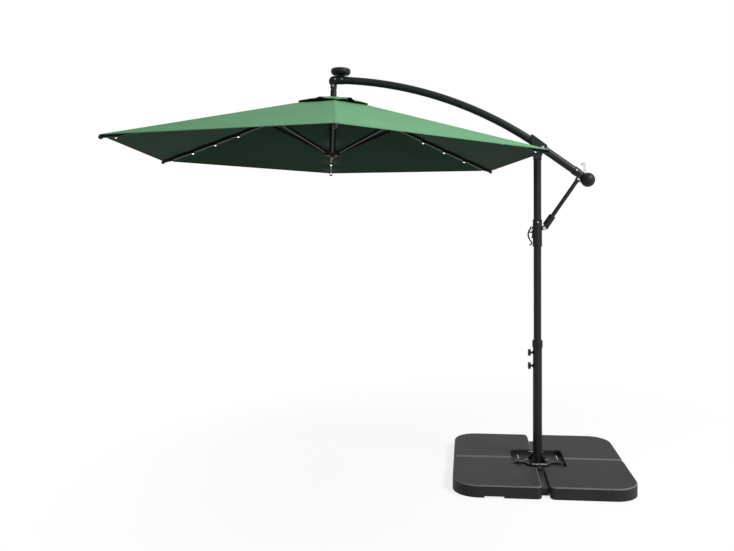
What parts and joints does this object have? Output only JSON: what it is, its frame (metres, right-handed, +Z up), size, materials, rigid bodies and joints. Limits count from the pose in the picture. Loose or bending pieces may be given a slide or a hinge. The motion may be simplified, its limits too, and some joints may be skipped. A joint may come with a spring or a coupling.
{
  "type": "cantilever garden umbrella",
  "caption": "Side-pole garden umbrella: curved boom with crank and sliding brace, folding six-sided canopy with lights and vent, and a weighted cross foot.",
  "frame": {"origin": "on the ground under the axis of the pole, at the middle of the cross foot", "axes": "+Z up; the boom and the canopy point to -X; every boom pivot turns about an axis along Y"},
  "size_m": [3.1543, 2.7496, 2.5274],
  "materials": {
    "charcoal_paint": "powder coat, satin",
    "black_plastic": "moulded, fine grain",
    "ballast_plastic": "moulded shell, fine grain",
    "bright_steel": "bright plated",
    "zinc_steel": "zinc plated",
    "cloth": "woven, coated",
    "cord": "braided",
    "solar_glass": "smooth",
    "lamp_plastic": "moulded, with clear lenses"
  },
  "bodies": {
    "base": {"cross_bar_side": "charcoal_paint", "cross_bar_front": "charcoal_paint", "ballast_front_left": "ballast_plastic", "ballast_front_right": "ballast_plastic", "ballast_rear_left": "ballast_plastic", "ballast_rear_right": "ballast_plastic", "foot_bolts": "bright_steel", "lower_tube": "charcoal_paint", "tube_collar": "black_plastic"},
    "upper_screw": {"thumb_screw_upper": "black_plastic"},
    "lower_screw": {"thumb_screw_lower": "black_plastic"},
    "pole": {"upper_pole": "charcoal_paint", "pole_head": "charcoal_paint", "head_bolt": "bright_steel"},
    "slider": {"slider_sleeve": "charcoal_paint", "slider_hardware": "bright_steel"},
    "lever": {"brake_lever": "black_plastic"},
    "strut": {"strut_tube": "charcoal_paint", "strut_socket": "black_plastic"},
    "boom": {"boom_tube": "charcoal_paint", "winch_housing": "black_plastic", "winch_cover": "black_plastic", "boom_bolts": "bright_steel", "elbow_fitting": "black_plastic", "solar_lamp_housing": "black_plastic", "solar_cell": "solar_glass", "lift_cord": "cord"},
    "winch": {"crank_handle": "bright_steel", "winch_drum": "zinc_steel"},
    "pulley": {"cord_pulley": "zinc_steel"},
    "hanger": {"hanger_tube": "black_plastic", "top_hub": "black_plastic", "vent_cap": "cloth"},
    "runner": {"runner_hub": "black_plastic", "centre_tube": "charcoal_paint", "drop_cord": "cord"},
    "rib_1": {"rib_1": "charcoal_paint", "lights_1": "lamp_plastic", "gore_1": "cloth"},
    "stretcher_1": {"stretcher_1": "charcoal_paint"},
    "rib_2": {"rib_2": "charcoal_paint", "lights_2": "lamp_plastic", "gore_2": "cloth"},
    "stretcher_2": {"stretcher_2": "charcoal_paint"},
    "rib_3": {"rib_3": "charcoal_paint", "lights_3": "lamp_plastic", "gore_3": "cloth"},
    "stretcher_3": {"stretcher_3": "charcoal_paint"},
    "rib_4": {"rib_4": "charcoal_paint", "lights_4": "lamp_plastic", "gore_4": "cloth"},
    "stretcher_4": {"stretcher_4": "charcoal_paint"},
    "rib_5": {"rib_5": "charcoal_paint", "lights_5": "lamp_plastic", "gore_5": "cloth"},
    "stretcher_5": {"stretcher_5": "charcoal_paint"},
    "rib_6": {"rib_6": "charcoal_paint", "lights_6": "lamp_plastic", "gore_6": "cloth"},
    "stretcher_6": {"stretcher_6": "charcoal_paint"}
  },
  "joints": [
    {"name": "upper_screw_turn", "type": "hinge", "parent": "base", "child": "upper_screw", "pos_m": [-0.0425, 0, 0.727], "axis": [-1, 0, 0], "continuous": true},
    {"name": "lower_screw_turn", "type": "hinge", "parent": "base", "child": "lower_screw", "pos_m": [-0.0425, 0, 0.645], "axis": [-1, 0, 0], "continuous": true},
    {"name": "pole_swivel", "type": "hinge", "parent": "base", "child": "pole", "pos_m": [0, 0, 0.775], "axis": [0, 0, 1], "continuous": true},
    {"name": "slider_lift", "type": "slide", "parent": "pole", "child": "slider", "axis": [0, 0, 1], "range_m": [0, 0.21624]},
    {"name": "lever_pull", "type": "hinge", "parent": "slider", "child": "lever", "pos_m": [-0.038, 0, 1.507], "axis": [0, 1, 0], "range_deg": [0, 12], "stiffness_Nm_per_rad": 1.2, "springref_deg": -17.19},
    {"name": "strut_swing", "type": "hinge", "parent": "slider", "child": "strut", "pos_m": [0.04, 0, 1.505], "axis": [0, 1, 0], "range_deg": [0, 15.1]},
    {"name": "boom_swing", "type": "hinge", "parent": "pole", "child": "boom", "pos_m": [0.03, 0, 2.006], "axis": [0, -1, 0], "range_deg": [0, 33.02]},
    {"name": "hanger_swing", "type": "hinge", "parent": "boom", "child": "hanger", "pos_m": [-1.29106, 0, 2.41537], "axis": [0, -1, 0], "range_deg": [-33.02, 0]},
    {"name": "crank_turn", "type": "hinge", "parent": "boom", "child": "winch", "pos_m": [0.31006, 0, 1.80624], "axis": [0, 1, 0], "range_deg": [0, 2521]},
    {"name": "pulley_turn", "type": "hinge", "parent": "boom", "child": "pulley", "pos_m": [-1.27706, 0, 2.45455], "axis": [0, -1, 0], "range_deg": [0, 2614.1]},
    {"name": "runner_drop", "type": "slide", "parent": "hanger", "child": "runner", "axis": [-0.0192, 0, -0.9998], "range_m": [0, 0.6385], "deforming": ["drop_cord"]},
    {"name": "rib_1_fold", "type": "hinge", "parent": "hanger", "child": "rib_1", "pos_m": [-1.30189, 0.04408, 2.32255], "axis": [-0.9794, -0.2011, 0.0188], "range_deg": [0, 68.89], "deforming": ["gore_1"]},
    {"name": "stretcher_1_fold", "type": "hinge", "parent": "rib_1", "child": "stretcher_1", "pos_m": [-1.39573, 0.48979, 2.20131], "axis": [-0.9794, -0.2011, 0.0188], "range_deg": [-128.21, 0]},
    {"name": "rib_2_fold", "type": "hinge", "parent": "hanger", "child": "rib_2", "pos_m": [-1.33553, 0.0142, 2.32319], "axis": [-0.3156, -0.9489, 0.0061], "range_deg": [0, 68.89], "deforming": ["gore_2"]},
    {"name": "stretcher_2_fold", "type": "hinge", "parent": "rib_2", "child": "stretcher_2", "pos_m": [-1.76955, 0.15782, 2.20849], "axis": [-0.3156, -0.9489, 0.0061], "range_deg": [-128.21, 0]},
    {"name": "rib_3_fold", "type": "hinge", "parent": "hanger", "child": "rib_3", "pos_m": [-1.32649, -0.02988, 2.32302], "axis": [0.6638, -0.7478, -0.0127], "range_deg": [0, 68.89], "deforming": ["gore_3"]},
    {"name": "stretcher_3_fold", "type": "hinge", "parent": "rib_3", "child": "stretcher_3", "pos_m": [-1.66903, -0.33196, 2.20655], "axis": [0.6638, -0.7478, -0.0127], "range_deg": [-128.21, 0]},
    {"name": "rib_4_fold", "type": "hinge", "parent": "hanger", "child": "rib_4", "pos_m": [-1.2838, -0.04408, 2.3222], "axis": [0.9794, 0.2011, -0.0188], "range_deg": [0, 68.89], "deforming": ["gore_4"]},
    {"name": "stretcher_4_fold", "type": "hinge", "parent": "rib_4", "child": "stretcher_4", "pos_m": [-1.19468, -0.48979, 2.19745], "axis": [0.9794, 0.2011, -0.0188], "range_deg": [-128.21, 0]},
    {"name": "rib_5_fold", "type": "hinge", "parent": "hanger", "child": "rib_5", "pos_m": [-1.25015, -0.0142, 2.32155], "axis": [0.3156, 0.9489, -0.0061], "range_deg": [0, 68.89], "deforming": ["gore_5"]},
    {"name": "stretcher_5_fold", "type": "hinge", "parent": "rib_5", "child": "stretcher_5", "pos_m": [-0.82085, -0.15782, 2.19027], "axis": [0.3156, 0.9489, -0.0061], "range_deg": [-128.21, 0]},
    {"name": "rib_6_fold", "type": "hinge", "parent": "hanger", "child": "rib_6", "pos_m": [-1.2592, 0.02988, 2.32173], "axis": [-0.6638, 0.7478, 0.0127], "range_deg": [0, 68.89], "deforming": ["gore_6"]},
    {"name": "stretcher_6_fold", "type": "hinge", "parent": "rib_6", "child": "stretcher_6", "pos_m": [-0.92137, 0.33196, 2.1922], "axis": [-0.6638, 0.7478, 0.0127], "range_deg": [-128.21, 0]}
  ],
  "couplings": [
    {"joint": "strut_swing", "follows": "slider_lift", "rad_per_m": 1.2178},
    {"joint": "boom_swing", "follows": "slider_lift", "rad_per_m": 2.6635},
    {"joint": "hanger_swing", "follows": "slider_lift", "rad_per_m": -2.6635},
    {"joint": "crank_turn", "follows": "runner_drop", "rad_per_m": 68.884},
    {"joint": "pulley_turn", "follows": "runner_drop", "rad_per_m": 71.429},
    {"joint": "rib_1_fold", "follows": "runner_drop", "rad_per_m": 1.8826},
    {"joint": "stretcher_1_fold", "follows": "runner_drop", "rad_per_m": -3.5036},
    {"joint": "rib_2_fold", "follows": "runner_drop", "rad_per_m": 1.8826},
    {"joint": "stretcher_2_fold", "follows": "runner_drop", "rad_per_m": -3.5036},
    {"joint": "rib_3_fold", "follows": "runner_drop", "rad_per_m": 1.8826},
    {"joint": "stretcher_3_fold", "follows": "runner_drop", "rad_per_m": -3.5036},
    {"joint": "rib_4_fold", "follows": "runner_drop", "rad_per_m": 1.8826},
    {"joint": "stretcher_4_fold", "follows": "runner_drop", "rad_per_m": -3.5036},
    {"joint": "rib_5_fold", "follows": "runner_drop", "rad_per_m": 1.8826},
    {"joint": "stretcher_5_fold", "follows": "runner_drop", "rad_per_m": -3.5036},
    {"joint": "rib_6_fold", "follows": "runner_drop", "rad_per_m": 1.8826},
    {"joint": "stretcher_6_fold", "follows": "runner_drop", "rad_per_m": -3.5036}
  ]
}
